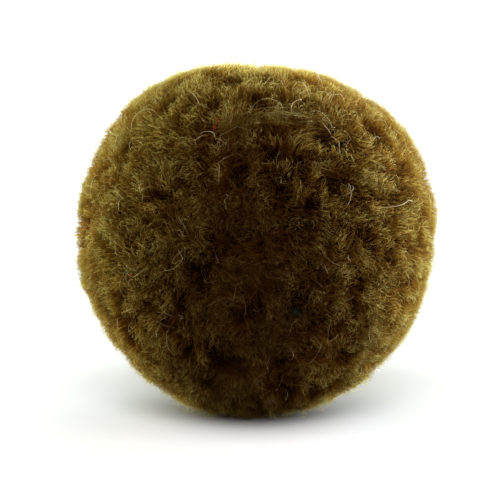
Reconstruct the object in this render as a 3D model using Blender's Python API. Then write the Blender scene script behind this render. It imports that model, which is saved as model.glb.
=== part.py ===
"""A lone yarn pom pom, 30 mm across, resting on a small flat spot.

A pom pom is yarn wound into a thick ring, tied round its waist and cut open, so
that every cut end springs outwards from the hidden tie. Here the packed roots of
the yarn are one round core, and the free yarn ends stand on it as blooming locks
of three or four sides, with a narrow gap between neighbours. The locks under the
ball are shorter than the rest and end level on the surface it rests on.

Units are metres, +Z is up, and the origin is the middle of the flat spot.
The ball is seen from -Y in its front view.
"""
import math
import random

import bmesh
import bpy
import numpy as np
from mathutils import Matrix, Vector

MM = 0.001

# Driving sizes
BALL_RADIUS = 15.00 * MM          # mean reach of the cut ends from the ball's centre
CENTRE_HEIGHT = 14.25 * MM        # the centre stands lower than that, so the ball sits on a flat
CORE_RADIUS = 9.2 * MM            # where the packed roots part into free locks

# The locks
CELL_CORNERS = 272                # corners shared by the cells that the locks stand on
SPREADING_STEPS = 60              # rounds in which the corners push each other apart
PUSH_FALL_OFF = 4                 # the power of the distance by which that push weakens
LONGEST_STEP = 0.2                # how far a corner moves in one round, in corner spacings
PAIRING = 0.5                     # how far cells of four sides are favoured over three
EVENING_STEPS = 12                # rounds in which the cells take an even shape
LENGTH_DRIFT = 0.12 * MM          # how much longer or shorter one lock is than the next
OWN_LEAN = 0.008                  # how far one lock leans by itself, in radians
YARN_SEED = 30

# One row for each ring of a lock, from its root to its cut end.
# reach is the share of the free length, fill the share of the lock's own cell.
RING_COLUMNS = ("reach", "fill")
LOCK_RINGS = (
    (0.00, 0.78),
    (0.78, 0.84),
    (0.93, 0.63),
)
END_REACH = LOCK_RINGS[-1][0]     # the ring round the cut end, whose middle domes out to 1
LEVEL_WITHIN = 0.001 * MM         # the ends that rest are level to less than this
FIRST_INSET = 0.1 * MM            # parts a lock from its cell, before the root ring shapes it

# Broad rises and hollows of the trimmed ball. Azimuth 0 is the right side (+X),
# 90 the back (+Y), 180 the left side and 270 the front; elevation 90 is the top.
SWELL_COLUMNS = ("azimuth_deg", "elevation_deg", "spread_deg", "rise_mm")
SWELLS = (
    (80, 84, 22, -0.40),          # crown trimmed flat
    (5, 25, 24, 0.75),            # right shoulder
    (172, 48, 24, 0.70),          # left shoulder
    (358, -5, 14, -0.40),         # dip in the right side
    (184, -41, 16, -0.65),        # nick low on the left
    (352, -40, 24, -0.15),        # low on the right
    (270, 10, 34, 0.15),          # front
    (60, 15, 28, 0.30),           # back right
    (120, -20, 26, -0.30),        # back left
)

# Drifts in which neighbouring locks lean together, each a gentle swirl.
SWIRL_COLUMNS = ("azimuth_deg", "elevation_deg", "spread_deg", "turn_deg")
SWIRLS = (
    (250, 25, 40, 5),
    (300, -25, 35, -5),
    (20, 30, 40, -5),
    (160, -10, 40, 5),
    (90, 35, 45, 5),
    (60, -30, 40, -5),
    (200, 60, 35, -4),
)

# Finish
YARN_COLOUR = (0.16, 0.105, 0.028, 1.0)
YARN_ROUGHNESS = 0.95


def rows(columns, table):
    """Each row of a table as a dictionary of its named columns."""
    return [dict(zip(columns, row)) for row in table]


def direction_of(azimuth_deg, elevation_deg):
    """The unit vector at an azimuth and an elevation."""
    azimuth = math.radians(azimuth_deg)
    elevation = math.radians(elevation_deg)
    level = math.cos(elevation)
    return Vector((level * math.cos(azimuth), level * math.sin(azimuth), math.sin(elevation)))


def nearness(direction, row):
    """1 at the middle of a swell or swirl, falling smoothly to 0 round it."""
    middle = direction_of(row["azimuth_deg"], row["elevation_deg"])
    return math.exp(-(direction.angle(middle) / math.radians(row["spread_deg"])) ** 2)


def trimmed_radius(direction):
    """How far the cut ends reach from the ball's centre along a direction."""
    swell = sum(row["rise_mm"] * nearness(direction, row) for row in rows(SWELL_COLUMNS, SWELLS))
    return BALL_RADIUS + swell * MM


def lean(direction, reach):
    """Turn a direction with the drifts that it lies in, more towards the cut end."""
    leaning = direction.copy()
    for row in rows(SWIRL_COLUMNS, SWIRLS):
        middle = direction_of(row["azimuth_deg"], row["elevation_deg"])
        turn = math.radians(row["turn_deg"]) * reach * nearness(leaning, row)
        leaning.rotate(Matrix.Rotation(turn, 3, middle))
    return leaning


def spread_over_sphere(count, chance):
    """Points on the unit sphere, pushed apart until they lie evenly but in no pattern."""
    points = np.array([[chance.gauss(0, 1) for _ in range(3)] for _ in range(count)])
    points /= np.linalg.norm(points, axis=1, keepdims=True)
    spacing = math.sqrt(4 * math.pi / count)
    for _ in range(SPREADING_STEPS):
        apart = points[:, None, :] - points[None, :, :]
        distance = np.linalg.norm(apart, axis=2) + np.eye(count)
        push = (apart * (spacing / distance[:, :, None]) ** PUSH_FALL_OFF).sum(axis=1)
        strength = np.linalg.norm(push, axis=1, keepdims=True)
        points += push / strength * np.minimum(strength, 1.0) * spacing * LONGEST_STEP
        points /= np.linalg.norm(points, axis=1, keepdims=True)
    return points


def root_cells():
    """A ball of even cells in no pattern, of three or four sides, on the unit sphere."""
    cells = bmesh.new()
    for point in spread_over_sphere(CELL_CORNERS, random.Random(YARN_SEED)):
        cells.verts.new(point)
    bmesh.ops.convex_hull(cells, input=cells.verts[:])
    bmesh.ops.join_triangles(cells, faces=cells.faces[:], angle_face_threshold=math.pi,
                             angle_shape_threshold=math.pi, topology_influence=PAIRING)
    for _ in range(EVENING_STEPS):
        bmesh.ops.smooth_vert(cells, verts=cells.verts[:], factor=0.5,
                              use_axis_x=True, use_axis_y=True, use_axis_z=True)
        for vert in cells.verts:
            vert.co.normalize()

    # one cell lies right under the ball's middle
    down = Vector((0, 0, -1))
    four_sided = [cell for cell in cells.faces if len(cell.verts) == 4]
    lowest = max(four_sided, key=lambda cell: cell.calc_center_median().normalized().dot(down))
    turn = lowest.calc_center_median().rotation_difference(down)
    for vert in cells.verts:
        vert.co.rotate(turn)
    return cells


class Lock:
    """One lock of yarn: the cell it stands on, how it leans and what its length is."""

    def __init__(self, cell, chance):
        self.axis = cell.calc_center_median().normalized()
        self.corners = [vert.co.copy() for vert in cell.verts]
        self.extra = chance.uniform(-1, 1) * LENGTH_DRIFT
        self.own_lean = Vector([chance.uniform(-1, 1) for _ in range(3)]) * OWN_LEAN

    def place(self, towards, reach):
        """The point at a share of the free length, seen towards a direction from the centre."""
        direction = lean((towards + self.own_lean * reach).normalized(), reach)
        outer = trimmed_radius(direction) + self.extra
        if direction.z < 0 and outer * -direction.z > CENTRE_HEIGHT:
            # shorter, and level where it would reach through the surface below
            outer = CENTRE_HEIGHT / -direction.z
            if reach >= END_REACH:
                reach = 1.0
        return direction * (CORE_RADIUS + reach * (outer - CORE_RADIUS))

    def shape_ring(self, end, ring):
        """Move the corners of the lock's end to one of its rings."""
        for vert in end.verts:
            above = max(self.corners, key=vert.co.dot)
            towards = self.axis.lerp(above, ring["fill"]).normalized()
            vert.co = self.place(towards, ring["reach"])


def yarn_finish():
    """Dull wool, olive brown."""
    finish = bpy.data.materials.new("olive_yarn")
    finish.use_nodes = True
    shader = finish.node_tree.nodes["Principled BSDF"]
    shader.inputs["Base Color"].default_value = YARN_COLOUR
    shader.inputs["Roughness"].default_value = YARN_ROUGHNESS
    shader.inputs["Metallic"].default_value = 0.0
    return finish


def pom_pom(collection):
    """The ball: a core of packed roots with a lock standing on each of its cells."""
    ball = root_cells()
    chance = random.Random(YARN_SEED + 1)
    numbers = ball.faces.layers.int.new("lock")
    ends = ball.faces[:]
    locks = [Lock(cell, chance) for cell in ends]
    for number, cell in enumerate(ends):
        cell[numbers] = number
    for vert in ball.verts:
        vert.co = vert.co * CORE_RADIUS

    bmesh.ops.inset_individual(ball, faces=ends, thickness=FIRST_INSET)
    for step, ring in enumerate(rows(RING_COLUMNS, LOCK_RINGS)):
        if step:
            ends = bmesh.ops.extrude_discrete_faces(ball, faces=ends)["faces"]
        for end in ends:
            locks[end[numbers]].shape_ring(end, ring)

    for end in ends:
        lock = locks[end[numbers]]
        middle = bmesh.ops.poke(ball, faces=[end])["verts"][0]
        middle.co = lock.place(lock.axis, 1.0)

    for vert in ball.verts:
        vert.co.z += CENTRE_HEIGHT
        if vert.co.z < LEVEL_WITHIN:
            vert.co.z = 0.0
    bmesh.ops.recalc_face_normals(ball, faces=ball.faces[:])
    print(len(locks), "locks,", sum(len(lock.corners) == 3 for lock in locks), "of three sides")
    mesh = bpy.data.meshes.new("pom_pom")
    ball.to_mesh(mesh)
    ball.free()
    mesh.materials.append(yarn_finish())
    made = bpy.data.objects.new("pom_pom", mesh)
    collection.objects.link(made)
    return made


def main():
    for thing in list(bpy.data.objects):
        bpy.data.objects.remove(thing, do_unlink=True)
    collection = bpy.data.collections.new("yarn_pom_pom")
    bpy.context.scene.collection.children.link(collection)
    pom_pom(collection)


main()
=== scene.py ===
# %% [markdown]
# # A wool pom pom, fibre by fibre
#
# The real thing is yarn, wound round a ring, tied at the waist and cut open. What
# shows is nothing but cut ends: some eight hundred tufts of loosened yarn, each a
# little brush of fine crimped fibres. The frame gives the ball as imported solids.
# This file dresses that ball, and every size below comes from it or is a real one.

# %% Load the frame
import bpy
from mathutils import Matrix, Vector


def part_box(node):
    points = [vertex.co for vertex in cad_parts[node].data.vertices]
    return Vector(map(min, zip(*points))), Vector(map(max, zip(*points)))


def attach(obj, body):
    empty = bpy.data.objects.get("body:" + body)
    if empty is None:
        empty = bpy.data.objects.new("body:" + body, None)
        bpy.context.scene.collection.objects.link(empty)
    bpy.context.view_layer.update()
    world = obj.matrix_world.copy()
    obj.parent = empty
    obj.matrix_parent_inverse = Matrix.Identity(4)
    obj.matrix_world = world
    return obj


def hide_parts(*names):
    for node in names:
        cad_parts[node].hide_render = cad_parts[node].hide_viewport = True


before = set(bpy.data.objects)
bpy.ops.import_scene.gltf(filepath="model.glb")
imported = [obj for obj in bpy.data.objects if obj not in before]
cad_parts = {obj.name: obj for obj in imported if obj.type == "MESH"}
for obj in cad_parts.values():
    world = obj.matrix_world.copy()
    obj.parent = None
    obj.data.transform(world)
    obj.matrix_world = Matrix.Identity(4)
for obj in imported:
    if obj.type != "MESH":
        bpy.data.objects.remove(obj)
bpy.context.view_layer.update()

import math

import bpy
import numpy as np
from mathutils import Vector

MM = 0.001
ball_low, ball_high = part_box("pom_pom")
ball_size = Vector(ball_high) - Vector(ball_low)
print("the ball of solids, in mm:", [round(side / MM, 1) for side in ball_size])

# %% [markdown]
# ## The form to follow
#
# The locks of the frame reach as far as the yarn does, each with its own length, so
# the dressed ball takes its outline from them. A point of the mesh that no
# neighbour stands above is the end of a lock. Anywhere else the reach is blended
# from the ends nearby. That could be done with rays, but a ray that falls
# between two locks would find the core, and blending has no such holes.

# %% The ends of the locks
CENTRE_HEIGHT = 14.25 * MM        # the ball's middle above the surface
SAME_WITHIN_MM = 0.001            # points nearer than this are one
ROOTS_WITHIN = 0.8                # the roots between the locks, as a share of the furthest reach
centre = np.array([0.0, 0.0, CENTRE_HEIGHT])


def unit(vectors):
    """Vectors of length one, along the last axis."""
    return vectors / np.linalg.norm(vectors, axis=-1, keepdims=True)


def lock_ends(node):
    """Where each lock of the frame ends, from the ball's middle."""
    mesh = node.data
    corners = np.empty(len(mesh.vertices) * 3)
    mesh.vertices.foreach_get("co", corners)
    steps = np.round((corners.reshape(-1, 3) - centre) / (SAME_WITHIN_MM * MM)).astype(int)
    points, same = np.unique(steps, axis=0, return_inverse=True)
    points = points * SAME_WITHIN_MM * MM
    edges = np.empty(len(mesh.edges) * 2, dtype=int)
    mesh.edges.foreach_get("vertices", edges)
    edges = same.reshape(-1)[edges].reshape(-1, 2)
    reach = np.linalg.norm(points, axis=1)
    overlooked = reach < ROOTS_WITHIN * reach.max()
    for here, there in (edges.T, edges[:, ::-1].T):
        overlooked[here[reach[there] > reach[here]]] = True
    return points[~overlooked]


ends = lock_ends(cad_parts["pom_pom"])
end_reach = np.linalg.norm(ends, axis=1)
end_ways = unit(ends)
print(len(ends), "lock ends, mean reach", round(end_reach.mean() / MM, 2), "mm")

# %% The reach of the yarn in any direction
BLEND = math.radians(7.5)         # how far round a direction the lock ends still count
AT_A_TIME = 4000                  # directions worked out together, to save memory
TINY = 1e-6                       # keeps a division from dividing by nothing


def reach_of(ways):
    """How far the cut yarn reaches from the ball's middle, for each direction."""
    reach = np.empty(len(ways))
    for start in range(0, len(ways), AT_A_TIME):
        part = ways[start:start + AT_A_TIME]
        weight = np.exp((part @ end_ways.T - 1) / BLEND ** 2 * 2)
        reach[start:start + AT_A_TIME] = (weight * end_reach).sum(axis=1) / weight.sum(axis=1)
    down = -ways[:, 2]
    to_floor = np.where(down > 0, CENTRE_HEIGHT / np.maximum(down, TINY), np.inf)
    return np.minimum(reach, to_floor)


print("the reach straight up is", round(reach_of(np.array([[0.0, 0.0, 1.0]]))[0] / MM, 2), "mm")

# %% [markdown]
# ## Tufts
#
# Each cut yarn end opens into a tuft about 1.9 mm across. A grid of them would show
# as rows. Points are thrown on a sphere and pushed apart instead, so that the tufts
# are evenly packed and in no pattern, as yarn that was wound and cut by hand lies.

# %% Where the tufts stand
TUFTS = 820
SPREADING_ROUNDS = 14             # rounds in which the tufts push each other apart
PUSH_RANGE = 1.5                  # how far a push is felt, in spacings
PUSH = 0.35                       # how strong it is
chance = np.random.default_rng(7)


def spread(count):
    """Directions that lie evenly over a sphere but in no pattern."""
    ways = unit(chance.normal(size=(count, 3)))
    spacing = math.sqrt(4 * math.pi / count)
    for _ in range(SPREADING_ROUNDS):
        apart = ways[:, None, :] - ways[None, :, :]
        near = np.maximum(1 - np.linalg.norm(apart, axis=2) / spacing / PUSH_RANGE, 0)
        ways = unit(ways + (apart * near[:, :, None]).sum(axis=1) * PUSH)
    return ways


tuft_ways = spread(TUFTS)
tuft_pitch = math.sqrt(4 * math.pi / TUFTS) * end_reach.mean()
print(TUFTS, "tufts,", round(tuft_pitch / MM, 2), "mm apart")

# %% [markdown]
# ## One fibre, and many as one mesh
#
# A strand of Blender's own hair isn't a mesh, and the finished object has to be one.
# A wool fibre is some 0.03 mm thick, less than a pixel of the picture, so in the
# pile it can be a flat ribbon that runs to a point: packed by the hundred, ribbons
# turned every way look round. A stray hair that stands alone is a closed spike of
# three sides. Thousands go into one mesh from arrays, because as many objects would
# be slow. A fibre's place on the map called OFBake says what colour it is: across is
# its shade of wool, up is root to tip. In the pile, up is how high a point lies, so
# lower points are darker as painted shade and the top is paler as painted light.

# %% The corners and triangles of fibres
RIBBON = 2                        # edges of a flat fibre
SPIKE = 3                         # edges of a closed one


def fibre_corners(paths, radii, sides):
    """Corners of fibres along paths (fibre, point, xyz): a ring round each point but the tip."""
    fibres, points, _ = paths.shape
    rings = points - 1
    along = unit(np.gradient(paths, axis=1))
    aside = chance.normal(size=(fibres, 1, 3))
    aside = unit(aside - (aside * along).sum(axis=2, keepdims=True) * along)
    across = np.cross(along, aside)
    turns = np.arange(sides) * 2 * math.pi / sides
    rim = aside[:, :rings, None] * np.cos(turns)[:, None]
    rim = rim + across[:, :rings, None] * np.sin(turns)[:, None]
    rim = rim * radii[:, :rings, None, None] + paths[:, :rings, None]
    return np.concatenate([rim.reshape(fibres, -1, 3), paths[:, -1:]], axis=1)


def fibre_faces(rings, sides):
    """The triangles of one fibre. A spike also has one that closes its root."""
    faces = [(0, 2, 1)] if sides == SPIKE else []
    strips = range(sides) if sides == SPIKE else range(1)
    for ring in range(rings - 1):
        for side in strips:
            here = ring * sides + side
            beside = ring * sides + (side + 1) % sides
            faces.append((here, beside, beside + sides))
            faces.append((here, beside + sides, here + sides))
    last = (rings - 1) * sides
    tip = rings * sides
    for side in strips:
        faces.append((last + side, last + (side + 1) % sides, tip))
    return np.array(faces)


print("a fibre of four points has", len(fibre_faces(3, RIBBON)), "triangles as a ribbon and",
      len(fibre_faces(3, SPIKE)), "as a spike")

# %% Fibres as one mesh
SHADE_WIDTH = 0.004               # a fibre's width on the map, far less than one shade
MAP_MARGIN = 0.02                 # kept clear at the top and bottom of the map


def fibre_mesh(name, paths, radii, shades, heights, material, sides=RIBBON):
    """Fibres along paths as one mesh, each with its shade of wool and its place on the colour run,
    which in the pile is painted shade.
    """
    fibres, points, _ = paths.shape
    corners = fibre_corners(paths, radii, sides)
    faces = fibre_faces(points - 1, sides)
    first_corner = np.arange(fibres)[:, None, None] * corners.shape[1]
    loops = (faces[None] + first_corner).reshape(-1)

    mesh = bpy.data.meshes.new(name)
    mesh.vertices.add(fibres * corners.shape[1])
    mesh.vertices.foreach_set("co", (corners + centre).reshape(-1))
    mesh.loops.add(len(loops))
    mesh.loops.foreach_set("vertex_index", loops)
    mesh.polygons.add(len(loops) // 3)
    mesh.polygons.foreach_set("loop_start", np.arange(0, len(loops), 3))
    mesh.update(calc_edges=True)
    mesh.shade_smooth()

    point_of = faces.reshape(-1) // sides
    wide = np.tile([0.0, 1.0, 0.5], len(faces)) * SHADE_WIDTH
    where = np.empty((fibres, len(faces) * 3, 2))
    where[:, :, 0] = shades[:, None] + wide[None]
    where[:, :, 1] = np.clip(heights[:, point_of], MAP_MARGIN, 1 - MAP_MARGIN)
    mesh.uv_layers.new(name="OFBake").data.foreach_set("uv", where.reshape(-1))
    mesh.materials.append(material)
    made = bpy.data.objects.new(name, mesh)
    bpy.context.scene.collection.objects.link(made)
    print(name, fibres, "fibres,", len(loops) // 3, "triangles")
    return made


# %% [markdown]
# ## Wool
#
# Dyed wool is dull. It is dark and warm where the yarn is packed, and pale and
# greenish where single fibres catch the light at their tips. One colour for all of
# it would look like felt. So each fibre runs through five colours from root to tip,
# between a warm run and a green one, and lets some of the light behind it through.
# The run is painted light and shade: in the pile it goes by how deep a point lies,
# dark as painted shade below and pale as painted light at the top.

# %% A finish, and a run of colours


def new_finish(name, roughness):
    """A new material and its main shader."""
    material = bpy.data.materials.new(name)
    material.use_nodes = True
    shader = material.node_tree.nodes["Principled BSDF"]
    shader.inputs["Roughness"].default_value = roughness
    return material, shader


def ramp_of(nodes, stops):
    """A colour ramp with the given stops."""
    ramp = nodes.new("ShaderNodeValToRGB")
    elements = ramp.color_ramp.elements
    while len(elements) < len(stops):
        elements.new(0.5)
    for element, (place, colour) in zip(elements, stops):
        element.position = place
        element.color = (*colour, 1.0)
    return ramp


# %% The wool finish
SHEEN_ROUGHNESS = 0.5
SHEEN_TINT = (1.0, 0.85, 0.45, 1.0)


def wool(name, warm, green, roughness=0.9, gloss=0.05, sheen=0.05, through=0.45):
    """Wool between two root-to-tip colour runs, mixed by the fibre's own shade."""
    material, shader = new_finish(name, roughness)
    nodes, links = material.node_tree.nodes, material.node_tree.links
    shader.inputs["Sheen Weight"].default_value = sheen
    shader.inputs["Sheen Roughness"].default_value = SHEEN_ROUGHNESS
    shader.inputs["Sheen Tint"].default_value = SHEEN_TINT
    shader.inputs["Specular IOR Level"].default_value = gloss
    chart = nodes.new("ShaderNodeUVMap")
    chart.uv_map = "OFBake"
    parts = nodes.new("ShaderNodeSeparateXYZ")
    links.new(chart.outputs["UV"], parts.inputs[0])
    mix = nodes.new("ShaderNodeMix")
    mix.data_type = "RGBA"
    links.new(parts.outputs["X"], mix.inputs["Factor"])
    for stops, side in ((warm, "A"), (green, "B")):
        ramp = ramp_of(nodes, stops)
        links.new(parts.outputs["Y"], ramp.inputs["Fac"])
        links.new(ramp.outputs["Color"], mix.inputs[side])
    links.new(mix.outputs["Result"], shader.inputs["Base Color"])
    # light from behind comes through
    glow = nodes.new("ShaderNodeBsdfTranslucent")
    links.new(mix.outputs["Result"], glow.inputs["Color"])
    both = nodes.new("ShaderNodeMixShader")
    both.inputs["Fac"].default_value = through
    links.new(shader.outputs[0], both.inputs[1])
    links.new(glow.outputs[0], both.inputs[2])
    links.new(both.outputs[0], nodes["Material Output"].inputs["Surface"])
    return material


# each stop is a place from root to tip and its colour: darker down in the pile as painted shade,
# paler at the top as painted light
YARN_WARM_SHADE_RUN = (
    (0.00, (0.095, 0.034, 0.007)),
    (0.40, (0.230, 0.080, 0.013)),
    (0.62, (0.325, 0.137, 0.018)),
    (0.80, (0.445, 0.255, 0.038)),
    (0.94, (0.600, 0.470, 0.155)),
)
YARN_GREEN_SHADE_RUN = (
    (0.00, (0.080, 0.036, 0.007)),
    (0.40, (0.200, 0.084, 0.014)),
    (0.62, (0.300, 0.148, 0.022)),
    (0.80, (0.415, 0.270, 0.043)),
    (0.94, (0.575, 0.495, 0.175)),
)
yarn_wool = wool("yarn_wool", YARN_WARM_SHADE_RUN, YARN_GREEN_SHADE_RUN)
print("finish:", yarn_wool.name)

# %% [markdown]
# ## The pile
#
# Under a lens the ball has no spikes. A fibre stands up with its tuft, and where the
# scissors freed it, it bends over and curls back on its neighbours. So four kinds
# are made: coarse packed ones that fill the tuft, cut ones that end at its top,
# curled ones that close it, and a few loose hairs above the trim. Each kind could
# have a routine of its own, but they differ in numbers only, so a kind is one row
# of a table: how deep it starts, how far along it turns down, how far it runs aside.

# %% The kinds of fibre
# apex: how far along a fibre turns down, by its droop. run and bend: how far it runs
# aside, and how much its heading turns. under, shortfall and above: how much lower
# or higher than its tuft it ends.
KIND_COLUMNS = ("points", "depth_mm", "radius_mm", "apex", "run_mm", "droop_mm", "bend",
                "crimp_mm", "under_mm", "shortfall_mm", "above_mm")
KINDS = {
    "packed": (3, 1.50, 0.038, 1.00, 0.15, 0.00, 0.6, 0.05, 0.25, 0.10, 0.00),
    "cut": (4, 1.50, 0.018, 1.00, 0.30, 0.00, 0.9, 0.05, 0.00, 0.20, 0.20),
    "curled": (5, 0.90, 0.016, 0.60, 0.60, 0.22, 2.2, 0.08, 0.00, 0.12, 0.00),
    "loose": (6, 1.20, 0.012, 0.70, 0.70, 0.10, 2.2, 0.10, 0.00, 0.02, 0.50),
}
kinds = {name: dict(zip(KIND_COLUMNS, row)) for name, row in KINDS.items()}
print("fibre kinds:", ", ".join(kinds))

# %% [markdown]
# ## No two tufts alike
#
# Scissors leave a ball that is even as a whole, but not tuft by tuft. Some bloom
# wide, some stay thin or lie flat, each leans a little and a few are cut short. The
# gaps that this leaves are what the eye reads as yarn. Neighbours come from the
# same length of yarn, so the shade drifts slowly over the ball.

# %% A shade that drifts over the ball
WAVES = 12                        # waves that add up to one drift
WAVE_LENGTHS = (0.6, 1.4)         # how much they differ in length
DRIFT_GAIN = 1.2                  # brings most of their sum to between -1 and 1


def smooth_noise(ways, scale, seed):
    """A smooth random value over the ball, mostly from -1 to 1."""
    dice = np.random.default_rng(seed)
    total = np.zeros(len(ways))
    for _ in range(WAVES):
        wave = unit(dice.normal(size=3)) * scale * dice.uniform(*WAVE_LENGTHS)
        total += np.sin(ways @ wave + dice.uniform(0, 2 * math.pi))
    return total / math.sqrt(WAVES) * DRIFT_GAIN


shade_drift = smooth_noise(tuft_ways, scale=5, seed=3)
print("the shade drifts from", round(shade_drift.min(), 1), "to", round(shade_drift.max(), 1))

# %% Tufts, each with its own length, lean, twist, width and shade
TWIST = 0.7                       # about how far a tuft turns on its way out, in radians
OVER_LOCKS = 0.28 * MM            # the trim above the ends of the locks
CUT_SHORT = 0.12 * MM             # how much shorter than the trim a tuft is on average
LEAN = 0.38 * MM                  # how far it leans to a side
UNEVEN = 0.35                     # how much tufts differ in width and in roundness
WIDTHS = (0.5, 1.8)               # the thinnest and the widest, against the middle one
DRIFT_SHARE = 0.25                # how far the drift moves the shade,
OWN_SHADE = 0.12                  # and how far a tuft's own yarn does

tuft_twist = chance.normal(0, TWIST, TUFTS)
tuft_trim = reach_of(tuft_ways) + OVER_LOCKS
tuft_reach = tuft_trim - chance.exponential(CUT_SHORT, TUFTS)
tuft_lean = chance.normal(0, LEAN, (TUFTS, 3))
tuft_size = np.clip(chance.lognormal(0, UNEVEN, TUFTS), *WIDTHS)
tuft_stretch = chance.lognormal(0, UNEVEN, TUFTS)
tuft_share = tuft_size ** 2 / (tuft_size ** 2).sum()
tuft_shade = 0.5 + DRIFT_SHARE * shade_drift + chance.normal(0, OWN_SHADE, TUFTS)
tuft_shade = np.clip(tuft_shade, 0, 1)
print("the tufts reach", round(tuft_reach.min() / MM, 1), "to", round(tuft_reach.max() / MM, 1), "mm")

# %% [markdown]
# ## The way of a fibre
#
# A fibre could be grown by rules, hair by hair, but a million steps in Python are
# slow. So all fibres of a kind are worked out at once, and a fibre's way is a sum of
# plain parts: out with the tuft, apart from its axis as the tuft opens, and off to
# one side in a curl.

# %% The parts of a fibre's way
# the colour run darkens down to this depth as painted shade
PILE_DEPTH = 1.6 * MM             # from the trim down to where the colour run ends
TUFT_ROOT = 0.64 * MM             # how far fibres stray from the tuft's axis at the root,
TUFT_SPREAD = 0.74 * MM           # and at the trim
OPENING = 1.3                     # how late the tuft opens: 1 is evenly
CLIMB = 1.2                       # how soon a fibre is up: 1 is evenly
DEPTHS = (0.7, 1.2)               # the least and the most, against the kind's own depth,
DROOPS = (0.0, 2.0)               # its droop
RUNS = (0.2, 1.6)                 # and its run aside
CURL_FROM = 0.2                   # how far along the curl starts
CURL_AWAY = 1.3                   # how far its heading strays from straight off the axis, in radians


def cross_frame(ways):
    """Two directions square to each way."""
    up = np.where(np.abs(ways[:, 2:3]) < 0.9, [[0.0, 0.0, 1.0]], [[1.0, 0.0, 0.0]])
    east = unit(np.cross(up, ways))
    return east, np.cross(ways, east)


def rise_of(kind, length, share):
    """How far out each point is: up from the depth to the apex, and down by the droop."""
    climb = np.minimum(share / kind["apex"], 1)
    fall = np.maximum(share - kind["apex"], 0) / max(1 - kind["apex"], TINY)
    depth = kind["depth_mm"] * MM * chance.uniform(*DEPTHS, (len(length), 1))
    droop = kind["droop_mm"] * MM * chance.uniform(*DROOPS, (len(length), 1))
    return length[:, None] - depth * (1 - climb) ** CLIMB - droop * fall ** 2


def opening_of(tuft, angle, from_axis, opened, share):
    """How far east and north of its tuft's axis each point is, as the tuft opens."""
    width = TUFT_ROOT + (TUFT_SPREAD - TUFT_ROOT) * opened ** OPENING
    width = width * (from_axis * tuft_size[tuft])[:, None]
    turn = angle[:, None] + tuft_twist[tuft][:, None] * share
    stretch = tuft_stretch[tuft][:, None]
    return width * np.cos(turn) * stretch, width * np.sin(turn) / stretch


def curl_of(kind, angle, share):
    """How far east and north each point has run off in a curl."""
    count = len(angle)
    heading = (angle + chance.normal(0, CURL_AWAY, count))[:, None]
    heading = heading + chance.normal(0, kind["bend"], (count, 1)) * share
    step = np.maximum(share - CURL_FROM, 0) * np.ones((count, 1))
    step = step / step.sum(axis=1, keepdims=True)
    step = step * kind["run_mm"] * MM * chance.uniform(*RUNS, (count, 1))
    return np.cumsum(step * np.cos(heading), axis=1), np.cumsum(step * np.sin(heading), axis=1)


print("the pile is", round(PILE_DEPTH / MM, 1), "mm deep")

# %% One kind of fibre over all the tufts
TUFT_DOME = 0.40 * MM             # how much lower a tuft's edge is than its middle
BLUNT = 0.93                      # a cut fibre keeps its width this far along
TAPER = 0.25                      # how much thinner it gets on the way
THICKNESSES = (0.7, 1.2)          # the thinnest and the thickest, against the kind's own
CRIMP_OUT = 0.6                   # the crimp up and down, as a share of the crimp aside
LEAN_LATE = 1.5                   # how late a tuft leans: 1 is evenly
FIBRE_SHADE = 0.16                # how much a fibre's shade differs from its tuft's
SHADES = (0.02, 0.97)             # the warmest and the greenest


def tuft_fibres(name, count, kind):
    """Fibres of one kind, spread over all the tufts, as one mesh."""
    tuft = chance.choice(TUFTS, count, p=tuft_share)
    ways = tuft_ways[tuft]
    east, north = cross_frame(ways)
    share = np.append(np.linspace(0, BLUNT, kind["points"] - 1), 1.0)[None, :]
    angle = chance.uniform(0, 2 * math.pi, count)
    from_axis = chance.rayleigh(1.0, count)
    dome = (1 - np.exp(-from_axis ** 2 / 2)) * TUFT_DOME
    length = tuft_reach[tuft] - dome - kind["under_mm"] * MM
    length = length - chance.exponential(kind["shortfall_mm"] * MM, count)
    length = length + chance.uniform(0, kind["above_mm"] * MM, count)

    out = rise_of(kind, length, share)
    opened = np.clip(1 - (length[:, None] - out) / PILE_DEPTH, 0, 1)
    off_east, off_north = opening_of(tuft, angle, from_axis, opened, share)
    curl_east, curl_north = curl_of(kind, angle, share)
    crimp = chance.normal(0, kind["crimp_mm"] * MM, (3, count, kind["points"])) * share ** 0.5
    lean = tuft_lean[tuft][:, None, :] * (opened ** LEAN_LATE)[:, :, None]
    paths = (ways[:, None] * (out + crimp[0] * CRIMP_OUT)[:, :, None]
             + east[:, None] * (off_east + curl_east + crimp[1])[:, :, None]
             + north[:, None] * (off_north + curl_north + crimp[2])[:, :, None] + lean)

    # a fibre that runs off its tuft follows the ball, and none goes through the floor
    paths = paths * (out / np.linalg.norm(paths, axis=2))[:, :, None]
    radius = kind["radius_mm"] * MM
    paths[:, :, 2] = np.maximum(paths[:, :, 2], -CENTRE_HEIGHT + radius)
    radii = radius * (1 - TAPER * share) * chance.uniform(*THICKNESSES, (count, 1))
    shades = np.clip(tuft_shade[tuft] + chance.normal(0, FIBRE_SHADE, count), *SHADES)
    # painted shade: the deeper a point lies under its tuft's top, the darker its colour, so a tuft's
    # lower edges are darker too; the top is pale as painted light
    heights = 1 - (tuft_reach[tuft][:, None] - out) / PILE_DEPTH
    return fibre_mesh(name, paths, radii, shades, heights, yarn_wool)


# each piece of the pile: its name, its kind and how many fibres it has
PILE_PIECES = (
    ("packed", "packed", 40000),
    ("cut_1", "cut", 38000),
    ("cut_2", "cut", 38000),
    ("cut_3", "cut", 38000),
    ("curled", "curled", 28000),
    ("loose", "loose", 8000),
)
pile = [tuft_fibres(name, count, kinds[kind]) for name, kind, count in PILE_PIECES]

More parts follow.
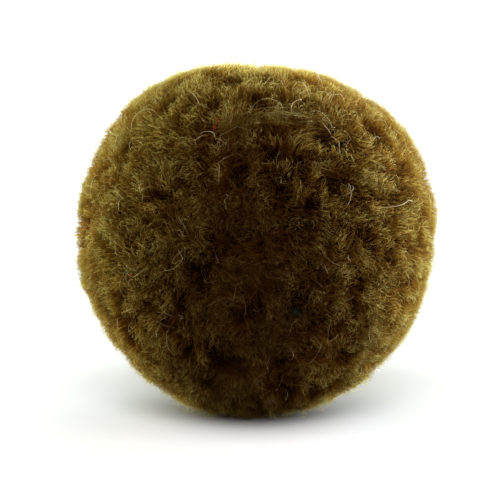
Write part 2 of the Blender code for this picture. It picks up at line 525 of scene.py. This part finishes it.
# %% [markdown]
# ## The packed yarn below
#
# Between the tufts the eye meets yarn so packed that no fibre stands free. A fine
# ball a good millimetre under the trim stands for it, and it lies deeper where two
# tufts part. The frame's own locks, shrunk, would do too, but their flat faces would
# show in the gaps. It is coloured near black, as painted shade of the deep gaps.
# Its grain is too fine to model, so that part is bump.

# %% The packed yarn under the pile
PACKED_DEPTH = 1.0                # mm below the ends of the locks,
GAP_DEPTH = 0.4                   # and mm more where two tufts part
GAP_WIDTH = 0.004                 # how near alike the way to two tufts is in a gap

bpy.ops.mesh.primitive_ico_sphere_add(subdivisions=6, radius=1.0)
core = bpy.context.object
core.name = "packed_yarn"
core_corners = np.empty(len(core.data.vertices) * 3)
core.data.vertices.foreach_get("co", core_corners)
core_ways = unit(core_corners.reshape(-1, 3))
nearest = np.sort(core_ways @ tuft_ways.T, axis=1)[:, -2:]
hollow = np.exp(-((nearest[:, 1] - nearest[:, 0]) / GAP_WIDTH) ** 2)
core_depth = (PACKED_DEPTH + GAP_DEPTH * hollow) * MM
core_corners = core_ways * (reach_of(core_ways) - core_depth)[:, None] + centre
core.data.vertices.foreach_set("co", core_corners.reshape(-1))
core.data.shade_smooth()
print("packed yarn,", len(core.data.polygons), "triangles")

# %% Its finish
GRAIN_SCALE = 2500                # a grain of about 0.4 mm
GRAIN_HEIGHT = 0.1 * MM
# painted shade: the packed yarn between the tufts is near black
PACKED_SHADE_COLOURS = ((0.35, (0.010, 0.005, 0.0015)), (0.7, (0.05, 0.028, 0.007)))


def packed_shade_finish():
    """Packed yarn with the grain of its fibres, darkened almost to black as painted shade of the deep
    gaps.
    """
    material, shader = new_finish("packed_wool_painted_shade", roughness=0.95)
    nodes, links = material.node_tree.nodes, material.node_tree.links
    shader.inputs["Specular IOR Level"].default_value = 0.05
    place = nodes.new("ShaderNodeTexCoord")
    noise = nodes.new("ShaderNodeTexNoise")
    noise.inputs["Scale"].default_value = GRAIN_SCALE
    links.new(place.outputs["Object"], noise.inputs["Vector"])
    ramp = ramp_of(nodes, PACKED_SHADE_COLOURS)
    links.new(noise.outputs["Fac"], ramp.inputs["Fac"])
    links.new(ramp.outputs["Color"], shader.inputs["Base Color"])
    bump = nodes.new("ShaderNodeBump")
    bump.inputs["Strength"].default_value = 0.6
    bump.inputs["Distance"].default_value = GRAIN_HEIGHT
    links.new(noise.outputs["Fac"], bump.inputs["Height"])
    links.new(bump.outputs["Normal"], shader.inputs["Normal"])
    return material


core.data.materials.append(packed_shade_finish())
print("finish:", core.data.materials[0].name)

# %% [markdown]
# ## Stray hairs
#
# Yarn is spun from many fleeces, so a ball always carries some longer pale hairs
# and a few of another colour. They leave the pile, arch over it and dive in again.
# Most are strewn by chance. The ones that catch the eye stand in a table: where each
# starts as seen from the front, where it heads, how far it runs and how much it bends.

# %% A hair that crawls over the ball
STRAY_POINTS = 12
DIVE = 0.35 * MM                  # how deep in the pile a stray starts and ends
ARCH = 0.6                        # how soon it is up: 1 is a half wave
KINKED = 0.25                     # the share of its points where it kinks
SHARP, GENTLE = 3, 0.1            # how much it turns there and elsewhere
OFF_FLOOR = 0.03 * MM             # no stray dips lower than this


def crawl(starts, headings, lengths, bends, lifts, kink):
    """Paths over the trim, each from its start along a heading that bends as it goes."""
    way = starts
    heading = headings
    steps = []
    for share in np.linspace(0, 1, STRAY_POINTS):
        arch = math.sin(math.pi * share) ** ARCH if 0 < share < 1 else 0.0
        height = reach_of(way) + lifts * arch - DIVE * (1 - arch)
        steps.append(way * height[:, None])
        kinked = chance.random(len(way)) < KINKED
        wander = np.where(kinked, SHARP * kink, GENTLE * kink)
        turn = bends / (STRAY_POINTS - 1) + chance.normal(0, 1, len(way)) * wander
        turned = np.cross(way, heading) * np.sin(turn)[:, None]
        heading = heading * np.cos(turn)[:, None] + turned
        way = unit(way + heading * (lengths / (STRAY_POINTS - 1) / height)[:, None])
        heading = unit(heading - (heading * way).sum(axis=1, keepdims=True) * way)
    paths = np.stack(steps, axis=1)
    paths[:, :, 2] = np.maximum(paths[:, :, 2], OFF_FLOOR - CENTRE_HEIGHT)
    return paths


print("a stray has", STRAY_POINTS, "points")

# %% Stray hairs as one mesh
LIFTS = (0.10, 0.45)              # how high over the trim a stray arches, in mm
STRAY_THICKNESSES = (0.7, 1.1)    # the thinnest and the thickest, against the given one
STRAY_HEIGHTS = (0.3, 0.95)       # where on its colour run a stray lies


def stray_mesh(name, ways, headings, lengths, bends, radius, material, kink):
    """Crawling hairs as one mesh. The kink says how much they zigzag."""
    count = len(ways)
    lifts = chance.uniform(*LIFTS, count) * MM
    paths = crawl(ways, headings, lengths, bends, lifts, kink)
    level = np.ones((1, STRAY_POINTS))
    radii = radius * chance.uniform(*STRAY_THICKNESSES, (count, 1)) * level
    heights = chance.uniform(*STRAY_HEIGHTS, (count, 1)) * level
    shades = chance.uniform(0, 0.95, count)
    return fibre_mesh(name, paths, radii, shades, heights, material, sides=SPIKE)


PALE_WARM = ((0.0, (0.74, 0.52, 0.24)), (1.0, (0.98, 0.84, 0.50)))
PALE_GREEN = ((0.0, (0.64, 0.50, 0.22)), (1.0, (0.97, 0.86, 0.52)))
pale_wool = wool("pale_wool", PALE_WARM, PALE_GREEN, roughness=0.5, gloss=0.4, sheen=0.2, through=0.2)
print("finish:", pale_wool.name)

# %% The strewn strays
STREWN = 170
NOT_BELOW = -0.8                  # none start right under the ball
STREWN_LENGTHS = (0.7, 4.0)       # the shortest and the longest, in mm
USUAL_LENGTH = 0.35               # the usual one, as the logarithm of its millimetres,
LENGTH_DRIFT = 0.5                # and how far the others differ
STREWN_RADIUS = 0.015 * MM
STREWN_KINK = 0.4

strewn_ways = unit(chance.normal(size=(STREWN, 3)))
strewn_ways = strewn_ways[strewn_ways[:, 2] > NOT_BELOW]
strewn_heading = unit(np.cross(strewn_ways, chance.normal(size=strewn_ways.shape)))
strewn_length = chance.lognormal(USUAL_LENGTH, LENGTH_DRIFT, len(strewn_ways))
strewn_length = np.clip(strewn_length, *STREWN_LENGTHS) * MM
strewn_bend = chance.normal(0, 1.0, len(strewn_ways))
strays = [stray_mesh("strewn_strays", strewn_ways, strewn_heading, strewn_length, strewn_bend,
                     STREWN_RADIUS, pale_wool, STREWN_KINK)]

# %% From a place in the front view to the ball
VIEW_ELEVATION = math.radians(9)  # how far the camera looks down
SEEN_ACROSS = np.array([1.0, 0.0, 0.0])
SEEN_UP = np.array([0.0, math.sin(VIEW_ELEVATION), math.cos(VIEW_ELEVATION)])
TOWARD_VIEWER = np.array([0.0, -math.cos(VIEW_ELEVATION), math.sin(VIEW_ELEVATION)])


def on_the_front(hairs):
    """Start directions and tangent headings of hairs, from how a table gives them."""
    across = hairs["across_mm"] * MM
    up = hairs["up_mm"] * MM
    heading = np.radians(hairs["heading_deg"])
    depth = np.sqrt(np.maximum(end_reach.mean() ** 2 - across ** 2 - up ** 2, MM ** 2))
    seen = across[:, None] * SEEN_ACROSS + up[:, None] * SEEN_UP
    ways = unit(seen + depth[:, None] * TOWARD_VIEWER)
    flat = np.cos(heading)[:, None] * SEEN_ACROSS + np.sin(heading)[:, None] * SEEN_UP
    into = -(flat * ways).sum(axis=1) / (ways @ TOWARD_VIEWER)
    return ways, unit(flat + into[:, None] * TOWARD_VIEWER)


def named(columns, rows):
    """The columns of a table, each as an array under its name."""
    return dict(zip(columns, np.array(rows, dtype=float).T))


print("the front view looks down by", round(math.degrees(VIEW_ELEVATION)), "degrees")

# %% The noted strays
STRAY_COLUMNS = ("across_mm", "up_mm", "heading_deg", "length_mm", "bend_deg")
NOTED_STRAYS = (
    (-3.6, 10.6, -171, 4.2, 10), (-11.9, 9.0, -57, 6.0, -7), (-10.2, 9.1, 71, 3.9, -148),
    (-4.5, 8.6, 2, 3.0, -53), (-2.3, 6.6, -129, 2.8, -15), (-4.2, 5.6, 97, 1.6, 202),
    (-2.6, 3.5, 4, 2.0, -103), (-11.8, 3.8, 37, 2.2, -51), (-10.3, 7.4, 74, 1.4, -53),
    (-6.3, 0.7, 19, 1.4, 17), (-0.4, 10.5, 62, 3.1, -104), (0.8, 10.3, -41, 3.5, 100),
    (3.6, 11.7, -119, 3.1, 125), (6.5, 8.6, 87, 3.2, 30), (6.0, 11.0, 82, 3.2, -58),
    (6.0, 11.0, 115, 2.2, 75), (6.1, 8.4, -103, 1.9, 125), (6.8, 3.5, -15, 1.7, 39),
    (10.0, 2.6, 0, 5.0, 46), (9.2, 7.8, 29, 1.9, 37), (2.6, -7.8, 89, 2.0, -19),
    (2.8, -8.7, -80, 1.4, 0), (8.9, -8.8, -58, 2.6, 13), (-6.3, -0.8, -59, 3.6, -84),
    (-10.9, -2.9, -94, 2.0, 13), (-8.0, -0.4, -56, 1.8, 49), (-7.1, -7.3, -107, 2.9, -22),
    (-7.4, -5.7, -38, 1.2, -36), (-3.2, -1.9, 28, 1.2, -37), (-1.6, -3.7, -84, 1.7, -51),
)
NOTED_RADIUS = 0.020 * MM
NOTED_KINK = 0.35

noted = named(STRAY_COLUMNS, NOTED_STRAYS)
noted_ways, noted_heading = on_the_front(noted)
strays.append(stray_mesh("noted_strays", noted_ways, noted_heading, noted["length_mm"] * MM,
                         np.radians(noted["bend_deg"]), NOTED_RADIUS, pale_wool, NOTED_KINK))

# %% A few hairs of another colour
BIT_COLUMNS = ("across_mm", "up_mm", "heading_deg", "length_mm")
BIT_RADIUS = 0.045 * MM
BIT_KINK = 0.16
RED = (0.50, 0.030, 0.010)
TEAL = (0.02, 0.13, 0.11)
BITS = {
    "red_bits": (RED, ((-13.8, 1.0, 20, 0.7), (-3.4, 8.8, 40, 0.6), (-3.0, 9.2, 110, 0.5),
                       (-9.8, -2.8, 160, 0.7))),
    "teal_bits": (TEAL, ((2.8, -6.0, 60, 0.8), (3.4, -6.3, 10, 0.9), (3.2, -5.7, 150, 0.7))),
}
for name, (colour, rows) in BITS.items():
    bits = named(BIT_COLUMNS, rows)
    bit_ways, bit_heading = on_the_front(bits)
    one_colour = ((0.0, colour), (1.0, colour))
    dyed_wool = wool(f"{name}_wool", one_colour, one_colour, through=0.2)
    bit_bend = chance.normal(0, 1.0, len(rows))
    strays.append(stray_mesh(name, bit_ways, bit_heading, bits["length_mm"] * MM, bit_bend,
                             BIT_RADIUS, dyed_wool, BIT_KINK))

# %% [markdown]
# ## Handing over
#
# The ball is one body with one colour of yarn. So every piece rides on the root and
# stands in for the frame's solids, whatever its finish.

# %% Hand the pieces to the frame
for piece in (*pile, *strays, core):
    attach(piece, "root")
    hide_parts("pom_pom")
print(len(pile) + len(strays) + 1, "pieces ride on the root")

# %% [markdown]
# ## Floor and light
#
# The ball stands on white paper in a light tent. Most of the light comes from both
# sides and from behind, so it shines through the pile at the rim and leaves the
# middle dark and warm. Lamps could stand there. A sky with a few soft bright patches
# has no hard edges and less grain. The floor has lamps of its own and throws no
# light back, so it can be as white as paper in a tent without washing out the
# underside of the ball. The paper right under the ball is dark in its own shade. So
# the sky fades out downwards, and a dark disc that only the ball sees lies under it.

# %% Floor
PAPER_ROUGHNESS = 0.9
PAPER_COLOUR = (0.182, 0.140, 0.141, 1)


def paper_finish(name, colour):
    """Dull paper of one colour."""
    material, shader = new_finish(name, PAPER_ROUGHNESS)
    shader.inputs["Base Color"].default_value = colour
    return material


bpy.ops.mesh.primitive_plane_add(size=4.0, location=(0, 0, -0.01 * MM))
floor = bpy.context.object
floor.name = "floor"
floor.data.materials.append(paper_finish("white_paper", PAPER_COLOUR))
floor.visible_diffuse = False
floor.visible_glossy = False
floor.visible_transmission = False
print("laid:", floor.name)

# %% The shaded paper under the ball
SHADED_RADIUS = 15 * MM
SHADED_PLACE = (0, 2 * MM, -0.05 * MM)
SHADED_COLOUR = (0.02, 0.013, 0.008, 1)

bpy.ops.mesh.primitive_circle_add(radius=SHADED_RADIUS, fill_type="NGON", location=SHADED_PLACE)
shade = bpy.context.object
shade.name = "floor_shade"
shade.data.materials.append(paper_finish("shaded_paper", SHADED_COLOUR))
shade.visible_camera = False
print("laid:", shade.name)

# %% Nodes for the sky
world = bpy.data.worlds.new("studio")
bpy.context.scene.world = world
world.use_nodes = True
sky_nodes, sky_links = world.node_tree.nodes, world.node_tree.links


def number_node(operation, first, second):
    """A maths node from a socket and a number."""
    node = sky_nodes.new("ShaderNodeMath")
    node.operation = operation
    sky_links.new(first, node.inputs[0])
    node.inputs[1].default_value = second
    return node.outputs[0]


def vector_node(operation, first, second):
    """A vector maths node from a socket and a socket or a vector."""
    node = sky_nodes.new("ShaderNodeVectorMath")
    node.operation = operation
    sky_links.new(first, node.inputs[0])
    if isinstance(second, bpy.types.NodeSocket):
        sky_links.new(second, node.inputs[1])
    else:
        node.inputs[1].default_value = second
    return node


print("world:", world.name)

# %% Soft lights in the sky
CLEAR = (0.76, 1.00, 1.04)        # light that comes through the tent behind
HAZY = (0.83, 1.00, 0.78)         # the same, through more cloth
PLAIN = (1.00, 0.81, 0.56)        # the lamps at the sides
WARM = (1.00, 0.55, 0.42)         # the dim room on the camera's side
# the way to each light's middle, its brightness and its tint
SOFT_LIGHTS = {
    "right": ((1.0, 0.5, -0.05), 9.8, PLAIN),
    "left": ((-1.0, 0.5, -0.1), 4.8, PLAIN),
    "left_side": ((-1.0, 0.1, -0.15), 2.0, PLAIN),
    "left_low": ((-0.7, 0.5, -0.7), 1.2, PLAIN),
    "rear_right": ((1.0, 1.1, -0.2), 57.0, CLEAR),
    "rear_right_high": ((0.7, 1.1, 0.7), 1.0, CLEAR),
    "rear_left": ((-1.0, 1.1, -0.28), 44.0, HAZY),
    "rear_left_low": ((-0.7, 1.1, -0.7), 2.8, HAZY),
    "front_high": ((0.8, -0.8, 0.9), 0.60, WARM),
    "front_right": ((1.0, -0.35, 0.0), 0.75, WARM),
    "front_left": ((-1.0, -0.35, -0.1), 0.45, WARM),
}
FOCUS = 8.0                       # how small a soft light is: the higher, the smaller
DARK_BELOW = -0.35                # no light comes from lower than this,
FULL_ABOVE = 0.1                  # and all of it from higher than this

direction = sky_nodes.new("ShaderNodeTexCoord").outputs["Generated"]
glow = None
for way, brightness, tint in SOFT_LIGHTS.values():
    toward = vector_node("DOT_PRODUCT", direction, Vector(way).normalized())
    spot = number_node("POWER", number_node("MAXIMUM", toward.outputs["Value"], 0.0), FOCUS)
    lit = vector_node("MULTIPLY", spot, Vector(tint) * brightness).outputs["Vector"]
    glow = vector_node("ADD", lit, glow).outputs["Vector"] if glow else lit
sky = sky_nodes["Background"]
sky_links.new(glow, sky.inputs["Color"])
height = sky_nodes.new("ShaderNodeSeparateXYZ")
sky_links.new(direction, height.inputs[0])
dim = sky_nodes.new("ShaderNodeMapRange")
dim.inputs["From Min"].default_value = DARK_BELOW
dim.inputs["From Max"].default_value = FULL_ABOVE
sky_links.new(height.outputs["Z"], dim.inputs["Value"])
sky_links.new(dim.outputs["Result"], sky.inputs["Strength"])
print(len(SOFT_LIGHTS), "soft lights")

# %% What the camera sees of the sky is white
seen = sky_nodes.new("ShaderNodeBackground")
seen.inputs["Color"].default_value = (1, 1, 1, 1)
seen.inputs["Strength"].default_value = 1.0
light_path = sky_nodes.new("ShaderNodeLightPath")
choose = sky_nodes.new("ShaderNodeMixShader")
sky_links.new(light_path.outputs["Is Camera Ray"], choose.inputs[0])
sky_links.new(sky.outputs[0], choose.inputs[1])
sky_links.new(seen.outputs[0], choose.inputs[2])
sky_links.new(choose.outputs[0], sky_nodes["World Output"].inputs[0])
print("a white backdrop")

# %% Light for the floor alone
FLOOR_LIGHT_COLUMNS = ("azimuth_deg", "elevation_deg", "energy")
FLOOR_LIGHTS = {
    "floor_front": (270, 42, 11.6),
    "floor_right": (330, 60, 4.8),
    "floor_left": (210, 60, 5.0),
}
SUN_TINT = (0.79, 1.0, 1.0)       # with the paper's own colour it makes white
SUN_WIDTH = math.radians(40)      # so wide that the shadow is soft

floor_only = bpy.data.collections.new("floor_only")
floor_only.objects.link(floor)
for name, row in FLOOR_LIGHTS.items():
    light = dict(zip(FLOOR_LIGHT_COLUMNS, row))
    azimuth = math.radians(light["azimuth_deg"])
    elevation = math.radians(light["elevation_deg"])
    level = math.cos(elevation)
    toward = Vector((level * math.cos(azimuth), level * math.sin(azimuth), math.sin(elevation)))
    sun = bpy.data.lights.new(name, "SUN")
    sun.energy = light["energy"]
    sun.color = SUN_TINT
    sun.angle = SUN_WIDTH
    lamp = bpy.data.objects.new(name, sun)
    bpy.context.scene.collection.objects.link(lamp)
    lamp.rotation_euler = toward.to_track_quat("Z", "Y").to_euler()
    lamp.light_linking.receiver_collection = floor_only
print(len(FLOOR_LIGHTS), "lights for the floor")

# %% [markdown]
# ## Camera
#
# A long lens looks down on the ball by nine degrees. The ball is 362 pixels wide in
# the photograph, which gives the size of a pixel, and the lens follows from that and
# the distance. The ball stands a little right of the middle and above it.

# %% Camera
PHOTO_SIDE = 500                  # pixels
BALL_PIXELS = 362                 # the ball's width in them,
BALL_WIDTH = 30.4 * MM            # and in reality, fuzz included
PIXEL = BALL_WIDTH / BALL_PIXELS
RIGHT_OF_MIDDLE = 5.5             # pixels
ABOVE_MIDDLE = 10
DISTANCE = 0.24
SENSOR = 36                       # mm
NEAREST = 10 * MM                 # nothing nearer to the camera than this is drawn

aim = Vector(centre) + Vector((-RIGHT_OF_MIDDLE * PIXEL, 0, -ABOVE_MIDDLE * PIXEL))
back = Vector(TOWARD_VIEWER)
lens = bpy.data.cameras.new("camera")
lens.sensor_width = SENSOR
lens.lens = SENSOR * DISTANCE / (PHOTO_SIDE * PIXEL)
lens.clip_start = NEAREST
camera = bpy.data.objects.new("camera", lens)
bpy.context.scene.collection.objects.link(camera)
camera.location = aim + back * DISTANCE
camera.rotation_euler = (-back).to_track_quat("-Z", "Y").to_euler()
bpy.context.scene.camera = camera
bpy.context.scene.view_settings.view_transform = "Standard"
print("a lens of", round(lens.lens), "mm")
